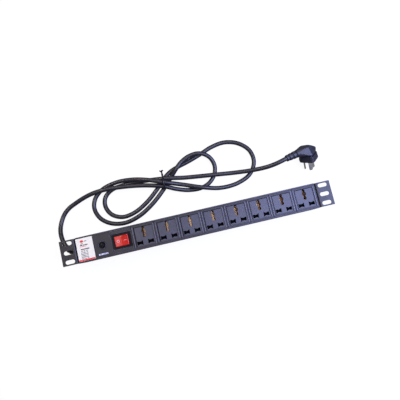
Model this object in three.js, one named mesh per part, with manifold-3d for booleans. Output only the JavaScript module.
// A rack power strip: a 19 inch, one-unit aluminium channel that carries eight universal
// outlets, a lit rocker switch and a resettable overload protector, with a mains lead and
// plug. Millimetres, +Z up. The strip lies on its back: X runs along it, Y across it, and
// the outlets look up +Z. The origin is the middle of the back.

import * as THREE from 'three';
import { mergeVertices } from 'three/addons/utils/BufferGeometryUtils.js';
import Module from 'manifold-3d';

const wasm = await Module();
wasm.setup();

// ---------------------------------------------------------------- driving dimensions

const GAP = 0.3; // clearance between pieces that touch on the real strip
const REACH = 5; // how far a cutting solid runs past the face it cuts

const RACK_WIDTH = 482.6; // 19 inch front width, over the ears
const EAR_HEIGHT = 43.6; // one rack unit less the usual play
const BODY = 44.4; // height and depth of the channel
const BODY_LENGTH = 426;
const WALL = 1.6; // channel wall
const LIP = 0.6; // how far the channel's lips reach over the modules
const LIP_DEPTH = 1.4;
const BOSS = 6; // square screw port in each floor corner of the channel

const SHEET = 1.5; // steel of the ears and end plates
const BEND = 2.5; // outside radius of the ear's fold
const EAR_FRONT = 43; // height of the ear's front face
const FLANGE_FOOT = 1;
const SLOT_PITCH = 15.875; // rack hole spacing, 5/8 inch
const SLOT_LENGTH = 16.5;
const SLOT_WIDTH = 6.8;
const SLOT_INSET = 13.25; // slot centre to the ear's outer edge
const CABLE_HOLE = 4.8; // radius of the hole the lead's boot passes
const SCREW_BORE = 1.7;
const SCREW_SHANK = 1.35;
const SCREW_HEAD = 2.9;

const MODULE_WIDTH = 39.4; // every front module, across the strip
const MODULE_FRONT = 43.9;
const COVER_FRONT = 43.6; // the two plain covers sit a little lower
const MODULE_WALL = 1.5;
const MODULE_FOOT = 16; // lower edge of the outlet modules' skirts
const COVER_FOOT = 34; // the plain covers have short skirts

const OUTLETS = 8;
const OUTLET_PITCH = 41.15;
const PANEL_WIDTH = 33; // recessed face of an outlet
const PANEL_HEIGHT = 33.5;
const PANEL_TOP = 42.3;
const PANEL_UNDER = 39.3;
const RIM_STEP = 0.8; // lowered outer edge between two outlets
const RIM_STEP_WIDTH = 1;
const PIN_ROW = -11.3; // line and neutral openings, below the strip's centre line

const SWITCH_WIDTH = 37.1;
const BLANK_WIDTH = 29.4;
const PROTECTOR_WIDTH = 30.3;

const SHUTTER_UNDER = 35.2;

const STRIP_Z = 14; // underside of the three contact strips
const TRAY_UNDER = 11.5;
const TRAY_TOP = 13.7;
const WIRE_RADIUS = 1.3;
const TERMINAL_FOOT = 12.2;

const ROCKER_TILT = 8; // degrees either side of level
const ROCKER_PIVOT_Z = 38.2;
const ROCKER_HALF = 11.7;
const ROCKER_WIDTH = 18;

const BUTTON_RADIUS = 4.3;
const NECK_RADIUS = 5.4; // threaded neck the button runs in
const PROTECTOR_FOOT = 18;
const BEZEL_UNDER = 41.6;
const BEZEL_TOP = 43.3;
const SWITCH_FOOT = 22;
const SPADES = [
  [-8, -5.5],
  [-8, 5.5],
  [8, -5.5],
  [8, 5.5],
];

const CORD_RADIUS = 4; // 8 mm three-core lead
const CORD_SIDES = 8;
const CORD_STEPS = 80;
const EXIT_Z = BODY / 2; // the lead leaves the left end at mid height

const PLUG_AT = [224.4, 69, 16.5]; // middle of the plug's face
const PLUG_HEADING = 8; // degrees
const PLUG_DIP = 33;
const PLUG_ROLL = 25;
const EXIT_TURN = 17; // the lead leaves the plug this far off its middle line
const SKIRT = 11;
const RELIEF_HEIGHT = 21; // lead's centre line behind the face
const RELIEF_BASE = 21.4;
const RELIEF_TIP = 42.5;
const PIN_THICKNESS = 1.6;
const PIN_ROOT = 4;
const PINS = [
  { name: 'plug_line_pin', x: -3.95, y: -6.85, turn: -30, width: 6.35, length: 18 },
  { name: 'plug_neutral_pin', x: -3.95, y: 6.85, turn: 30, width: 6.35, length: 18 },
  { name: 'plug_earth_pin', x: 10.3, y: 0, turn: 0, width: 6.35, length: 21 },
];

// -------------------------------------------------------------------- derived places

const HALF = BODY / 2;
const BODY_END = BODY_LENGTH / 2;
const MODULE_HALF = MODULE_WIDTH / 2;
const PLATE_INNER = BODY_END + GAP;
const PLATE_OUTER = PLATE_INNER + SHEET;
const FLANGE_INNER = PLATE_OUTER + GAP;
const FLANGE_OUTER = FLANGE_INNER + SHEET;
const BOSS_Y = HALF - WALL - BOSS / 2;
const BOSS_Z = WALL + BOSS / 2;
const BLANK_X = -BODY_END + BLANK_WIDTH / 2;
const PROTECTOR_X = -BODY_END + BLANK_WIDTH + PROTECTOR_WIDTH / 2;
const SWITCH_X = -BODY_END + BLANK_WIDTH + PROTECTOR_WIDTH + SWITCH_WIDTH / 2;
const OUTLET_START = SWITCH_X + SWITCH_WIDTH / 2;
const outletX = (i) => OUTLET_START + OUTLET_PITCH * (i + 0.5);
const STRIP_START = OUTLET_START + 0.7;
const STRIP_END = BODY_END - 1;
const BUTTON_X = PROTECTOR_X - 0.85;

// ------------------------------------------------------------------------- finishes

function finish(color, roughness, metalness) {
  return new THREE.MeshStandardMaterial({ color, roughness, metalness });
}
const anodised = finish(0x33333b, 0.45, 0.7);
const blackSteel = finish(0x35353c, 0.5, 0.3);
const blackPlate = finish(0x141418, 0.6, 0.2);
const zinc = finish(0xb9bcc0, 0.35, 0.9);
const moulding = finish(0x45464f, 0.55, 0);
const shutterBlack = finish(0x0d0d10, 0.6, 0);
const switchBlack = finish(0x17171c, 0.4, 0);
const rockerRed = finish(0xd8281f, 0.25, 0);
const tinned = finish(0xc8c6bf, 0.35, 0.9);
const brass = finish(0xc89a4a, 0.35, 0.9);
const paper = finish(0xf2f1ef, 0.6, 0);
const trayWhite = finish(0xdcd9d0, 0.6, 0);
const insulation = finish(0x9aa7b3, 0.7, 0);
const cordBlack = finish(0x1e1e23, 0.55, 0);
const plugBlack = finish(0x202028, 0.45, 0);
const wireBrown = finish(0x5a3a22, 0.6, 0);
const wireBlue = finish(0x2b4f9a, 0.6, 0);
const wireGreen = finish(0x6f9a2c, 0.6, 0);

// -------------------------------------------------------------------- solid helpers

// A closed geometry as a manifold solid, its shared vertices merged.
function solid(geometry) {
  const bare = geometry.clone();
  bare.deleteAttribute('normal');
  bare.deleteAttribute('uv');
  const merged = mergeVertices(bare, 1e-4);
  const index = merged.index.array;
  const kept = [];
  for (let i = 0; i < index.length; i += 3) {
    const [a, b, c] = [index[i], index[i + 1], index[i + 2]];
    if (a !== b && b !== c && c !== a) kept.push(a, b, c);
  }
  const vertProperties = new Float32Array(merged.attributes.position.array);
  const triVerts = new Uint32Array(kept);
  return new wasm.Manifold(new wasm.Mesh({ numProp: 3, vertProperties, triVerts }));
}

// A manifold solid back as a three.js geometry.
function geometryOf(body) {
  const mesh = body.getMesh();
  const geometry = new THREE.BufferGeometry();
  geometry.setAttribute('position', new THREE.BufferAttribute(mesh.vertProperties, 3));
  geometry.setIndex(new THREE.BufferAttribute(mesh.triVerts, 1));
  geometry.computeVertexNormals();
  return geometry;
}

// A solid less every cutter.
function cut(body, ...cutters) {
  return cutters.reduce((rest, cutter) => rest.subtract(cutter), body);
}

// Several solids joined.
function join(...bodies) {
  return bodies.reduce((whole, body) => whole.add(body));
}

// A block between two corners.
function block(x0, x1, y0, y1, z0, z1) {
  const geometry = new THREE.BoxGeometry(x1 - x0, y1 - y0, z1 - z0);
  geometry.translate((x0 + x1) / 2, (y0 + y1) / 2, (z0 + z1) / 2);
  return solid(geometry);
}

// A block centred on a point in plan.
function slab(x, y, width, height, z0, z1) {
  return block(x - width / 2, x + width / 2, y - height / 2, y + height / 2, z0, z1);
}

// A flat outline in plan, raised from z0 to z1.
function prism(shape, z0, z1, curveSegments = 3) {
  const options = { depth: z1 - z0, bevelEnabled: false, curveSegments };
  const geometry = new THREE.ExtrudeGeometry(shape, options);
  geometry.translate(0, 0, z0);
  return solid(geometry);
}

// An upright round bar on (x, y).
function bar(x, y, radius, z0, z1, sides = 20) {
  const geometry = new THREE.CylinderGeometry(radius, radius, z1 - z0, sides);
  geometry.rotateX(Math.PI / 2);
  geometry.translate(x, y, (z0 + z1) / 2);
  return solid(geometry);
}

// A round bar along X.
function barAlongX(x0, x1, y, z, radius, sides = 16) {
  const geometry = new THREE.CylinderGeometry(radius, radius, x1 - x0, sides);
  geometry.rotateZ(Math.PI / 2);
  geometry.translate((x0 + x1) / 2, y, z);
  return solid(geometry);
}

// A section drawn in Y and Z, run from x0 to x1.
function alongX(section, x0, x1, curveSegments = 3) {
  const options = { depth: x1 - x0, bevelEnabled: false, curveSegments };
  const geometry = new THREE.ExtrudeGeometry(section, options);
  const basis = new THREE.Matrix4().makeBasis(
    new THREE.Vector3(0, 1, 0),
    new THREE.Vector3(0, 0, 1),
    new THREE.Vector3(1, 0, 0),
  );
  geometry.applyMatrix4(basis);
  geometry.translate(x0, 0, 0);
  return solid(geometry);
}

// A section drawn in X and Z, run from y0 to y1.
function alongY(section, y0, y1, curveSegments = 3) {
  const options = { depth: y1 - y0, bevelEnabled: false, curveSegments };
  const geometry = new THREE.ExtrudeGeometry(section, options);
  const basis = new THREE.Matrix4().makeBasis(
    new THREE.Vector3(1, 0, 0),
    new THREE.Vector3(0, 0, 1),
    new THREE.Vector3(0, -1, 0),
  );
  geometry.applyMatrix4(basis);
  geometry.translate(0, y1, 0);
  return solid(geometry);
}

// A closed outline through points.
function outline(points) {
  return new THREE.Shape(points.map(([x, y]) => new THREE.Vector2(x, y)));
}

// A rectangle with round corners, centred on (x, y).
function roundedRectangle(x, y, width, height, radius) {
  const [a, b] = [width / 2 - radius, height / 2 - radius];
  const shape = new THREE.Shape();
  shape.absarc(x + a, y + b, radius, 0, Math.PI / 2);
  shape.absarc(x - a, y + b, radius, Math.PI / 2, Math.PI);
  shape.absarc(x - a, y - b, radius, Math.PI, 1.5 * Math.PI);
  shape.absarc(x + a, y - b, radius, 1.5 * Math.PI, 2 * Math.PI);
  shape.closePath();
  return shape;
}

// A round tube along a curve.
function tube(curve, radius, steps, sides) {
  const section = new THREE.Shape();
  section.absarc(0, 0, radius, 0, 2 * Math.PI);
  const options = { extrudePath: curve, steps, bevelEnabled: false, curveSegments: sides / 2 };
  return solid(new THREE.ExtrudeGeometry(section, options));
}

// A turned piece bent along a curve: its profile is [distance along the curve, radius].
function bentLathe(profile, curve, sides) {
  const points = profile.map(([along, radius]) => new THREE.Vector2(radius, along));
  const geometry = new THREE.LatheGeometry(points, sides);
  const length = curve.getLength();
  const position = geometry.attributes.position;
  const up = new THREE.Vector3(0, 0, 1);
  for (let i = 0; i < position.count; i += 1) {
    const share = Math.min(Math.max(position.getY(i) / length, 0), 1);
    const tangent = curve.getTangentAt(share);
    const side = new THREE.Vector3().crossVectors(up, tangent).normalize();
    const over = new THREE.Vector3().crossVectors(tangent, side);
    const place = curve.getPointAt(share);
    place.addScaledVector(side, position.getX(i));
    place.addScaledVector(over, -position.getZ(i));
    position.setXYZ(i, place.x, place.y, place.z);
  }
  return solid(geometry);
}

// --------------------------------------------------------------------- the assembly

const group = new THREE.Group();

function addNode(name, shape, material) {
  const mesh = new THREE.Mesh(geometryOf(shape), material);
  mesh.name = name;
  group.add(mesh);
}

// ------------------------------------------------------------------------- channel

function channel() {
  const inner = HALF - WALL;
  const lip = inner - LIP;
  const bossEdge = inner - BOSS;
  const section = outline([
    [-HALF, 0],
    [HALF, 0],
    [HALF, BODY],
    [lip, BODY],
    [lip, BODY - LIP_DEPTH],
    [inner, BODY - LIP_DEPTH],
    [inner, WALL + BOSS],
    [bossEdge, WALL + BOSS],
    [bossEdge, WALL],
    [-bossEdge, WALL],
    [-bossEdge, WALL + BOSS],
    [-inner, WALL + BOSS],
    [-inner, BODY - LIP_DEPTH],
    [-lip, BODY - LIP_DEPTH],
    [-lip, BODY],
    [-HALF, BODY],
  ]);
  const bores = [-1, 1].map((side) => {
    return barAlongX(-BODY_END - REACH, BODY_END + REACH, side * BOSS_Y, BOSS_Z, SCREW_BORE, 10);
  });
  return cut(alongX(section, -BODY_END, BODY_END), ...bores);
}

// ---------------------------------------------------------------------------- ears

// The folded ear, drawn for the left end; side = 1 turns it round for the right end.
function rackBracket(side) {
  const inside = BEND - SHEET;
  const section = new THREE.Shape();
  section.moveTo(-RACK_WIDTH / 2, EAR_FRONT - SHEET);
  section.lineTo(-FLANGE_OUTER - inside, EAR_FRONT - SHEET);
  section.absarc(-FLANGE_OUTER - inside, EAR_FRONT - BEND, inside, Math.PI / 2, 0, true);
  section.lineTo(-FLANGE_OUTER, FLANGE_FOOT);
  section.lineTo(-FLANGE_INNER, FLANGE_FOOT);
  section.lineTo(-FLANGE_INNER, EAR_FRONT - BEND);
  section.absarc(-FLANGE_INNER - BEND, EAR_FRONT - BEND, BEND, 0, Math.PI / 2);
  section.lineTo(-RACK_WIDTH / 2, EAR_FRONT);
  section.closePath();
  const sheet = alongY(section, -EAR_HEIGHT / 2, EAR_HEIGHT / 2);
  const slotX = -RACK_WIDTH / 2 + SLOT_INSET;
  const slots = [-1, 0, 1].map((row) => {
    const hole = roundedRectangle(slotX, row * SLOT_PITCH, SLOT_LENGTH, SLOT_WIDTH, SLOT_WIDTH / 2);
    return prism(hole, EAR_FRONT - BEND, EAR_FRONT + REACH);
  });
  const screwHoles = [-1, 1].map((row) => {
    return barAlongX(-FLANGE_OUTER - 1, -FLANGE_INNER + 1, row * BOSS_Y, BOSS_Z, SCREW_BORE, 12);
  });
  let bracket = cut(sheet, ...slots, ...screwHoles);
  if (side < 0) {
    bracket = cut(bracket, barAlongX(-FLANGE_OUTER - 1, -FLANGE_INNER + 1, 0, EXIT_Z, CABLE_HOLE));
  }
  return side < 0 ? bracket : bracket.rotate([0, 0, 180]);
}

// The plate that closes one end of the channel.
function endPlate(side) {
  const [x0, x1] = side < 0 ? [-PLATE_OUTER, -PLATE_INNER] : [PLATE_INNER, PLATE_OUTER];
  const plate = block(x0, x1, -HALF + 1.2, HALF - 1.2, 0.8, EAR_FRONT - BEND);
  const holes = [-1, 1].map((row) => {
    return barAlongX(x0 - 1, x1 + 1, row * BOSS_Y, BOSS_Z, SCREW_BORE, 12);
  });
  if (side < 0) holes.push(barAlongX(x0 - 1, x1 + 1, 0, EXIT_Z, CABLE_HOLE));
  return cut(plate, ...holes);
}

// A pan-head screw that runs through ear and end plate into the channel's port.
function endScrew(side, row) {
  const head = FLANGE_OUTER + GAP;
  const profile = [
    [0, head + 1.9],
    [1.7, head + 1.8],
    [SCREW_HEAD, head + 0.9],
    [SCREW_HEAD, head],
    [SCREW_SHANK, head],
    [SCREW_SHANK, BODY_END - 8],
    [0, BODY_END - 9],
  ];
  const points = profile.map(([radius, along]) => new THREE.Vector2(radius, along)).reverse();
  const geometry = new THREE.LatheGeometry(points, 12);
  geometry.rotateZ(side < 0 ? Math.PI / 2 : -Math.PI / 2);
  geometry.translate(0, row * BOSS_Y, BOSS_Z);
  return solid(geometry);
}

// ------------------------------------------------------------------------- outlets

// A skirted front module: a tray upside down, open at the back.
function moduleShell(x, width, front, plate, foot) {
  const outer = slab(x, 0, width - GAP, MODULE_WIDTH, foot, front);
  const innerWidth = width - GAP - 2 * MODULE_WALL;
  const innerHeight = MODULE_WIDTH - 2 * MODULE_WALL;
  return cut(outer, slab(x, 0, innerWidth, innerHeight, foot - REACH, front - plate));
}

// The opening for earth pins: three round lobes on one slot.
function earthOpening(x) {
  const lobes = [
    [13.5, 2.5],
    [8, 3.6],
    [0.2, 2.9],
  ];
  const holes = lobes.map(([y, radius]) => bar(x, y, radius, PANEL_UNDER - 1, PANEL_TOP + REACH));
  const slot = slab(x, 7, 3.4, 12, PANEL_UNDER - 1, PANEL_TOP + REACH);
  return join(...holes, slot);
}

// A fish-tail opening for a line or neutral pin; side = -1 is the left one.
function pinOpening(x, side) {
  const half = [
    [4.4, 4.2],
    [7.4, 2.5],
    [10, 2.3],
    [11.6, 3],
    [14.6, 3.1],
  ];
  const upper = half.map(([u, v]) => [x + side * u, PIN_ROW + v]);
  const lower = half.map(([u, v]) => [x + side * u, PIN_ROW - v]).reverse();
  const points = side > 0 ? [...lower, ...upper].reverse() : [...upper, ...lower];
  return prism(outline(points), PANEL_UNDER - 1, PANEL_TOP + REACH);
}

function outletFace(i) {
  const x = outletX(i);
  const shell = moduleShell(x, OUTLET_PITCH, MODULE_FRONT, MODULE_FRONT - PANEL_UNDER, MODULE_FOOT);
  const recess = slab(x, 0, PANEL_WIDTH, PANEL_HEIGHT, PANEL_TOP, MODULE_FRONT + REACH);
  const stepX = OUTLET_PITCH / 2;
  const stepFloor = MODULE_FRONT - RIM_STEP;
  const steps = [-1, 1].map((side) => {
    const width = 2 * RIM_STEP_WIDTH + GAP;
    return slab(x + side * stepX, 0, width, BODY, stepFloor, MODULE_FRONT + REACH);
  });
  const ledges = [-1, 1].map((side) => slab(x + side * 17.8, -7, 3, 20, 33.4, 34.8));
  const openings = [earthOpening(x), pinOpening(x, -1), pinOpening(x, 1)];
  return cut(join(shell, ...ledges), recess, ...steps, ...openings);
}

// The sprung safety shutter: two ramped blades joined by a bridge, closed at rest.
function outletShutter(i) {
  const x = outletX(i);
  const [low, high] = [PIN_ROW - 4.6, PIN_ROW + 4.4];
  const ramp = outline([
    [low, SHUTTER_UNDER],
    [high, SHUTTER_UNDER],
    [high, PANEL_UNDER - 0.4],
    [low, PANEL_UNDER - 2.9],
  ]);
  const blade = alongX(ramp, x - 17.6, x + 17.6);
  return cut(blade, block(x - 4, x + 4, low + 3, high + 1, SHUTTER_UNDER - 1, PANEL_UNDER + 1));
}

// --------------------------------------------------------------- contacts and tray

// One pin contact: a riser on its strip and a second leaf beside it.
function pinContact(x, riserY, leafY) {
  const leafTop = SHUTTER_UNDER - 0.7;
  const half = 0.4;
  const [near, far] = riserY < leafY ? [riserY - half, leafY + half] : [leafY - half, riserY + half];
  const riser = slab(x, riserY, 8, 2 * half, STRIP_Z, leafTop);
  const bridge = block(x - 4, x + 4, near, far, 20, 20.8);
  const leaf = slab(x, leafY, 8, 2 * half, 20, leafTop);
  return join(riser, bridge, leaf);
}

function pinBusbar(side, stripLow, stripHigh, riserY, leafY) {
  const strip = block(STRIP_START, STRIP_END, stripLow, stripHigh, STRIP_Z, STRIP_Z + 1);
  const contacts = [];
  for (let i = 0; i < OUTLETS; i += 1) contacts.push(pinContact(outletX(i) + side * 9.5, riserY, leafY));
  return join(strip, ...contacts);
}

// An earth contact: a channel with flared lips that shows through the earth opening.
function earthContact(x) {
  const profile = outline([
    [x - 2.4, 22],
    [x + 2.4, 22],
    [x + 2.4, 36],
    [x + 3, 37.7],
    [x + 2.2, 37.8],
    [x + 1.5, 36],
    [x + 1.5, 23],
    [x - 1.5, 23],
    [x - 1.5, 36],
    [x - 2.2, 37.8],
    [x - 3, 37.7],
    [x - 2.4, 36],
  ]);
  const post = slab(x, 6, 4.8, 4, STRIP_Z, 22.5);
  return join(alongY(profile, -2.4, 15.6), post);
}

function earthBusbar() {
  const strip = block(STRIP_START, STRIP_END, 3, 9, STRIP_Z, STRIP_Z + 1);
  const contacts = [];
  for (let i = 0; i < OUTLETS; i += 1) contacts.push(earthContact(outletX(i)));
  return join(strip, ...contacts);
}

function contactTray() {
  const y = MODULE_HALF - MODULE_WALL - 0.6;
  const floor = block(STRIP_START - 0.5, STRIP_END + 0.5, -y, y, TRAY_UNDER, TRAY_TOP);
  const sides = [-1, 1].map((side) => {
    const middle = (STRIP_START + STRIP_END) / 2;
    const length = STRIP_END - STRIP_START + 1;
    return slab(middle, side * (y - 0.75), length, 1.5, TRAY_TOP - 1, 15.6);
  });
  return join(floor, ...sides);
}

// -------------------------------------------------------------------------- switch

function switchFrame() {
  const shell = moduleShell(SWITCH_X, SWITCH_WIDTH, MODULE_FRONT, 4.6, COVER_FOOT);
  const recess = slab(SWITCH_X, 0, 34.4, 27, BEZEL_UNDER - GAP, MODULE_FRONT + REACH);
  const hole = slab(SWITCH_X, 0, 28.8, 22.6, MODULE_FRONT - 6, MODULE_FRONT);
  return cut(shell, recess, hole);
}

function switchHousing() {
  const bezel = prism(roundedRectangle(SWITCH_X, 0, 31.5, 25.5, 1.2), BEZEL_UNDER, BEZEL_TOP, 3);
  const box = slab(SWITCH_X, 0, 28.2, 22, SWITCH_FOOT, BEZEL_UNDER + 0.5);
  const cavity = slab(SWITCH_X, 0, 25.5, ROCKER_WIDTH + 2 * GAP, 33.2, BEZEL_TOP + REACH);
  const pockets = SPADES.map(([u, v]) => slab(SWITCH_X + u, v, 1.4, 6.9, SWITCH_FOOT - 1, 26.3));
  return cut(join(bezel, box), cavity, ...pockets);
}

function switchTerminal([u, v]) {
  return slab(SWITCH_X + u, v, 0.8, 6.3, 12.5, 26);
}

// The rocker, drawn level and then tipped to rest on its O end.
function rocker() {
  const shape = outline([
    [-11.3, -1.5],
    [-3, -4],
    [3, -4],
    [11.3, -1.5],
    [ROCKER_HALF, 6.1],
    [0, 4.5],
    [-ROCKER_HALF, 6.1],
  ]);
  const level = alongY(shape, -ROCKER_WIDTH / 2, ROCKER_WIDTH / 2);
  return level.rotate([0, -ROCKER_TILT, 0]).translate([SWITCH_X, 0, ROCKER_PIVOT_Z]);
}

// ----------------------------------------------------------- covers and protector

function blankCover() {
  return moduleShell(BLANK_X, BLANK_WIDTH, COVER_FRONT, 2.5, COVER_FOOT);
}

function ratingLabel() {
  const z = COVER_FRONT + GAP;
  return prism(roundedRectangle(BLANK_X, 0, BLANK_WIDTH - 0.7, 39, 0.5), z, z + 0.15, 2);
}

function protectorCover() {
  const shell = moduleShell(PROTECTOR_X, PROTECTOR_WIDTH, COVER_FRONT, 2.5, COVER_FOOT);
  return cut(shell, bar(BUTTON_X, 0, NECK_RADIUS + GAP, 35, 50, 24));
}

function protectorBody() {
  const box = slab(BUTTON_X, 0, 13, 32, PROTECTOR_FOOT, COVER_FRONT - 2.5 - GAP);
  const neck = bar(BUTTON_X, 0, NECK_RADIUS, 38, 44.8, 24);
  return cut(join(box, neck), bar(BUTTON_X, 0, BUTTON_RADIUS + GAP, 33.5, 50, 24));
}

function resetRing() {
  const [bottom, top] = [COVER_FRONT + GAP, 45.3];
  const profile = [
    [NECK_RADIUS + GAP, bottom],
    [7.5, bottom],
    [7.5, top - 0.5],
    [7, top],
    [6.2, top],
    [NECK_RADIUS + GAP, top - 0.6],
    [NECK_RADIUS + GAP, bottom],
  ];
  const points = profile.map(([radius, z]) => new THREE.Vector2(radius, z));
  const geometry = new THREE.LatheGeometry(points, 24);
  geometry.rotateX(Math.PI / 2);
  geometry.translate(BUTTON_X, 0, 0);
  return solid(geometry);
}

function resetButton() {
  const profile = [
    [0, 35.6],
    [BUTTON_RADIUS, 35.6],
    [BUTTON_RADIUS, 45.2],
    [3.7, 45.7],
    [2.2, 45.9],
    [0, 45.9],
  ];
  const points = profile.map(([radius, z]) => new THREE.Vector2(radius, z));
  const geometry = new THREE.LatheGeometry(points, 20);
  geometry.rotateX(Math.PI / 2);
  geometry.translate(BUTTON_X, 0, 0);
  return solid(geometry);
}

// ---------------------------------------------------------------------- inner wires

const INNER_END = -208; // where the lead's cores spread out inside the boot

function wire(points) {
  const curve = new THREE.CatmullRomCurve3(points.map((p) => new THREE.Vector3(...p)));
  return tube(curve, WIRE_RADIUS, 20, 8);
}

// Every core ends level with the strip it feeds, just short of it.
function stripEnd(y) {
  return [
    [STRIP_START - 4, y, STRIP_Z + 0.5],
    [STRIP_START - 0.6, y, STRIP_Z + 0.5],
  ];
}

const WIRES = {
  earth_wire: [
    [INNER_END, 2.2, 22.2],
    [-200, 8, 18],
    [-188, 11.5, 9],
    [-160, 11.5, 7],
    [-133, 11.3, 8],
    [-124, 10, 12],
    ...stripEnd(6),
  ],
  neutral_wire: [
    [INNER_END, -1.3, 24],
    [-200, -7, 19],
    [-188, -11, 9],
    [-165, -11.5, 7],
    [SWITCH_X - 13, -9, 6],
    [SWITCH_X - 8, -5.5, 8],
    [SWITCH_X - 8, -5.5, TERMINAL_FOOT],
  ],
  line_wire: [
    [INNER_END, -1.3, 20.2],
    [-201, -2, 16],
    [-190, -4, 8],
    [-176, -5.5, 6.5],
    [BUTTON_X - 1, -6, 11],
    [BUTTON_X, -6, PROTECTOR_FOOT - GAP],
  ],
  protector_wire: [
    [BUTTON_X, 6, PROTECTOR_FOOT - GAP],
    [BUTTON_X + 1, 6, 11],
    [-160, 6, 6],
    [SWITCH_X - 13, 5.5, 5.5],
    [SWITCH_X - 8, 5.5, 8],
    [SWITCH_X - 8, 5.5, TERMINAL_FOOT],
  ],
  line_link: [
    [SWITCH_X + 8, 5.5, TERMINAL_FOOT],
    [SWITCH_X + 8, 5, 7.5],
    [SWITCH_X + 8, 0, 5.2],
    [SWITCH_X + 9, -8, 5.6],
    [SWITCH_X + 12, -12.4, 9.5],
    ...stripEnd(-13.5),
  ],
  neutral_link: [
    [SWITCH_X + 8, -5.5, TERMINAL_FOOT],
    [SWITCH_X + 8.6, -5.6, 9.8],
    [SWITCH_X + 11.5, -7, 10],
    ...stripEnd(-8.7),
  ],
};

// -------------------------------------------------------------------- lead and plug

// The lead's centre line: out of the boot, down to the surface, and twice round a loose
// figure of eight that a wire tie holds at its middle, then over the loops to the plug.
const CORD_ROUTE = [
  [-237.5, 13, 19.6],
  [-241, 20.5, 17.6],
  [-243.8, 29, 14.6],
  [-245.5, 39, 10.9],
  [-245, 50, 7],
  [-241, 62, 4.7],
  [-234, 73, 4.2],
  [-224, 81.5, 4.2],
  [-211, 87.5, 5.1],
  [-195, 93, 8],
  [-177, 97, 11.6],
  [-158, 98.5, 13.8],
  [-136, 98, 13.8],
  [-107, 95, 13.3],
  [-77, 89.5, 13.8],
  [-46, 80.5, 14.9],
  [-24, 71, 10.6],
  [-3, 65, 4.9],
  [19, 63.6, 4.2],
  [37, 69.5, 4.2],
  [50.5, 84, 4.4],
  [54, 101, 6.4],
  [47, 117, 10.7],
  [31, 126.5, 13.6],
  [11, 125.5, 13.6],
  [-5, 118, 13.3],
  [-16, 108.5, 13.3],
  [-27.5, 97.5, 8.2],
  [-38.5, 86.5, 4.4],
  [-51, 74, 4.2],
  [-73, 55.5, 4.2],
  [-101, 39, 4.2],
  [-130, 32, 4.2],
  [-156, 37.5, 4.2],
  [-173, 51.5, 4.2],
  [-179.5, 71, 4.2],
  [-174, 88.5, 4.2],
  [-158, 102, 4.2],
  [-131, 108.5, 6.4],
  [-105, 106.8, 12],
  [-78, 100, 18.2],
  [-45.5, 87.5, 20.4],
  [-11, 76, 12.8],
  [23, 63, 13.3],
  [56, 55.5, 7.1],
  [89, 57.5, 4.2],
  [115, 69, 4.2],
  [128, 90, 4.2],
  [125, 113, 4.2],
  [107, 131, 4.2],
  [82, 138.5, 4.2],
  [56, 135, 4.2],
  [32, 126, 4.2],
  [8, 118, 4.2],
  [-12, 112.5, 4.2],
  [-28.5, 106.5, 4.2],
  [-44, 95.5, 4.2],
  [-61, 78.5, 4.2],
  [-83, 60.5, 4.2],
  [-108, 47, 4.2],
  [-132, 43.5, 4.2],
  [-151, 53, 4.2],
  [-159, 70, 4.2],
  [-156, 85.5, 4.2],
  [-142, 97, 4.2],
  [-112, 101.4, 4.4],
  [-80, 99.5, 8.3],
  [-45, 94.8, 15.1],
  [-27, 91.8, 15.3],
  [-9, 88.6, 13.2],
  [21, 84.6, 12.9],
  [49, 81, 13.8],
  [85, 76.7, 12.7],
  [118.6, 73.2, 16.1],
  [144.8, 71.7, 24.5],
  [162.5, 73.2, 31.2],
  [179.4, 77.1, 33],
];

function curveThrough(points) {
  const vectors = points.map((p) => new THREE.Vector3(...p));
  return new THREE.CatmullRomCurve3(vectors, false, 'centripetal');
}

// The flexible boot: through end plate and ear, a collar outside, then a ribbed taper.
function cordBoot() {
  const start = -210;
  const path = curveThrough([
    [start, 0, EXIT_Z],
    [-214, 0, EXIT_Z],
    [-219, 0.1, EXIT_Z],
    [-226, 2, 21.9],
    [-231.6, 5.8, 21.3],
    [-235, 9.4, 20.5],
    [-236.7, 12, 19.85],
  ]);
  const collar = FLANGE_OUTER + GAP + start;
  const end = path.getLength();
  const profile = [
    [0, 0],
    [0, 5.8],
    [2.6, 5.8],
    [2.6, 4.2],
    [collar, 4.2],
    [collar, 8],
    [collar + 2, 8],
    [collar + 2.2, 6.4],
  ];
  const ribs = 4;
  const step = (end - collar - 2.6) / ribs;
  for (let i = 0; i < ribs; i += 1) {
    const at = collar + 2.6 + i * step;
    const radius = 6.6 - (i * 1.6) / ribs;
    profile.push([at + 0.2, radius], [at + 0.6 * step, radius - 0.3]);
    if (i < ribs - 1) profile.push([at + 0.7 * step, radius - 1], [at + 0.95 * step, radius - 1]);
  }
  profile.push([end, 5], [end, 0]);
  return bentLathe(profile, path, 14);
}

function powerCord() {
  return tube(curveThrough(CORD_ROUTE), CORD_RADIUS, CORD_STEPS, CORD_SIDES);
}

// A plastic-covered wire round the three strands at the middle of the coil.
function cordTie() {
  const x = -44.5;
  return tube(
    curveThrough([
      [x - 1, 106, 15.1],
      [x - 1, 102.6, 14.9],
      [x, 99.4, 18.4],
      [x, 94, 22.9],
      [x, 87.4, 26.9],
      [x, 80.4, 24],
      [x, 75, 18.9],
      [x, 74, 14],
      [x, 76, 10.4],
      [x, 80, 9.5],
      [x, 87.4, 9.4],
      [x, 95, 9.6],
      [x, 99.4, 10.7],
      [x + 1, 102.6, 12.7],
      [x + 1, 106.4, 12.2],
    ]),
    0.8,
    48,
    6,
  );
}

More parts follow.
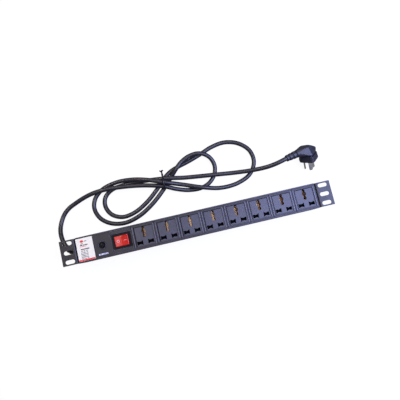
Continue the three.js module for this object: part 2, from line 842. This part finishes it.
// The plug's own axes: X to the earth pin, Z the way the pins point.
function plugPlacement() {
  const [heading, dip, roll] = [PLUG_HEADING, PLUG_DIP, PLUG_ROLL].map(THREE.MathUtils.degToRad);
  const pins = new THREE.Vector3(
    Math.sin(heading) * Math.cos(dip),
    -Math.cos(heading) * Math.cos(dip),
    -Math.sin(dip),
  );
  const level = new THREE.Vector3(Math.cos(heading), Math.sin(heading), 0);
  const over = new THREE.Vector3().crossVectors(pins, level);
  const toEarth = level.clone().multiplyScalar(Math.cos(roll)).addScaledVector(over, -Math.sin(roll));
  const across = new THREE.Vector3().crossVectors(pins, toEarth);
  const placement = new THREE.Matrix4().makeBasis(toEarth, across, pins);
  return placement.setPosition(...PLUG_AT);
}

function placed(body) {
  return body.transform(plugPlacement().elements);
}

// Upright rounds, each [x, y, radius], wrapped in one smooth outline.
function wrapped(rounds, z0, z1) {
  const bars = rounds.map(([x, y, radius]) => bar(x, y, radius, z0, z1, 20));
  return wasm.Manifold.hull(bars);
}

// The outline of the plug's face: five rounded corners about the pins.
function plugOutline(grow, z0, z1) {
  const corners = [
    [-8, -5, 6],
    [-3.5, -10.5, 6],
    [-4, 12, 6],
    [11, 5, 7.5],
    [11, -5, 7.5],
  ];
  return wrapped(corners.map(([x, y, radius]) => [x, y, radius + grow]), z0, z1);
}

// The neck and its ribs, turned along the lead's way out.
function plugRelief() {
  const profile = [
    [8, 0],
    [8, 7.3],
    [RELIEF_BASE, 7.3],
    [RELIEF_BASE + 0.8, 5.7],
    [RELIEF_BASE + 2, 5.7],
    [RELIEF_BASE + 2.4, 7.1],
    [RELIEF_BASE + 7.6, 6.8],
    [RELIEF_BASE + 8.2, 5.3],
    [RELIEF_BASE + 9.6, 5.3],
    [RELIEF_BASE + 10, 6.6],
    [RELIEF_BASE + 15, 6.3],
    [RELIEF_BASE + 15.6, 5],
    [RELIEF_BASE + 16.8, 5],
    [RELIEF_BASE + 17.2, 6.1],
    [RELIEF_TIP, 5.8],
    [RELIEF_TIP, 0],
  ];
  const points = profile.map(([along, radius]) => new THREE.Vector2(radius, along));
  const geometry = new THREE.LatheGeometry(points, 16);
  geometry.rotateZ(Math.PI / 2 + THREE.MathUtils.degToRad(EXIT_TURN));
  geometry.translate(0, 0, -RELIEF_HEIGHT);
  return solid(geometry);
}

function plugBody() {
  const skirt = wasm.Manifold.hull([plugOutline(0, -2, 0), plugOutline(-1, -SKIRT, -SKIRT + 1)]);
  const waist = plugOutline(-4.2, -SKIRT - 4, -SKIRT + 1);
  const turn = THREE.MathUtils.degToRad(EXIT_TURN);
  const neckAt = RELIEF_BASE - 4;
  const neck = new THREE.SphereGeometry(7.4, 14, 10);
  neck.translate(-neckAt * Math.cos(turn), -neckAt * Math.sin(turn), -RELIEF_HEIGHT);
  const back = wasm.Manifold.hull([
    plugOutline(-2.2, -SKIRT - 3.6, -SKIRT - 2.4),
    wrapped([[11, -4, 6], [11.5, 4.5, 6]], -20, -18),
    wrapped([[7, -4, 5], [7, 2, 5]], -24.5, -22),
    wrapped([[-4, -5, 5], [-2, 3, 5]], -28.3, -26),
    solid(neck),
  ]);
  const recesses = PINS.map(({ x, y, turn: angle, width }) => {
    const hole = slab(0, 0, width + 2 * GAP, PIN_THICKNESS + 2 * GAP, -PIN_ROOT - GAP, 1);
    return hole.rotate([0, 0, angle]).translate([x, y, 0]);
  });
  const whole = join(skirt, waist, back, plugRelief());
  const grip = bar(20, 10, 4.2, -SKIRT - 0.5, -2.2, 16);
  return placed(cut(whole, grip, ...recesses));
}

function plugPin({ x, y, turn, width, length }) {
  const shape = new THREE.Shape();
  const half = width / 2;
  shape.moveTo(-half, -PIN_ROOT);
  shape.lineTo(half, -PIN_ROOT);
  shape.lineTo(half, length - 1.2);
  shape.lineTo(half - 1.2, length);
  shape.lineTo(-half + 1.2, length);
  shape.lineTo(-half, length - 1.2);
  shape.closePath();
  const blade = alongY(shape, -PIN_THICKNESS / 2, PIN_THICKNESS / 2);
  return placed(blade.rotate([0, 0, turn]).translate([x, y, 0]));
}

// ------------------------------------------------------------------------- put together

addNode('housing_extrusion', channel(), anodised);
addNode('left_rack_bracket', rackBracket(-1), blackSteel);
addNode('right_rack_bracket', rackBracket(1), blackSteel);
addNode('left_end_plate', endPlate(-1), blackPlate);
addNode('right_end_plate', endPlate(1), blackPlate);
for (const [side, label] of [[-1, 'left'], [1, 'right']]) {
  for (const row of [-1, 1]) {
    addNode(`${label}_end_screw_${row < 0 ? 1 : 2}`, endScrew(side, row), zinc);
  }
}

addNode('blank_cover', blankCover(), moulding);
addNode('rating_label', ratingLabel(), paper);
addNode('protector_cover', protectorCover(), moulding);
addNode('protector_body', protectorBody(), switchBlack);
addNode('reset_ring', resetRing(), switchBlack);
addNode('reset_button', resetButton(), switchBlack);

addNode('switch_frame', switchFrame(), moulding);
addNode('switch_housing', switchHousing(), switchBlack);
addNode('switch_rocker', rocker(), rockerRed);
SPADES.forEach((spade, i) => addNode(`switch_terminal_${i + 1}`, switchTerminal(spade), tinned));

for (let i = 0; i < OUTLETS; i += 1) {
  addNode(`outlet_face_${i + 1}`, outletFace(i), moulding);
  addNode(`outlet_shutter_${i + 1}`, outletShutter(i), shutterBlack);
}
addNode('line_busbar', pinBusbar(-1, -15.8, -12, -13.9, -8.7), brass);
addNode('neutral_busbar', pinBusbar(1, -10.6, -6.8, -8.7, -13.9), brass);
addNode('earth_busbar', earthBusbar(), brass);
addNode('contact_tray', contactTray(), trayWhite);
addNode('base_insulator', block(-205, 205, -13.5, 13.5, WALL + GAP, WALL + GAP + 0.8), insulation);

const cores = { earth_wire: wireGreen, neutral_wire: wireBlue, neutral_link: wireBlue };
for (const [name, points] of Object.entries(WIRES)) {
  addNode(name, wire(points), cores[name] ?? wireBrown);
}

addNode('cord_boot', cordBoot(), cordBlack);
addNode('power_cord', powerCord(), cordBlack);
addNode('cord_tie', cordTie(), switchBlack);
addNode('plug_body', plugBody(), plugBlack);
PINS.forEach((pin) => addNode(pin.name, plugPin(pin), tinned));

export default group;
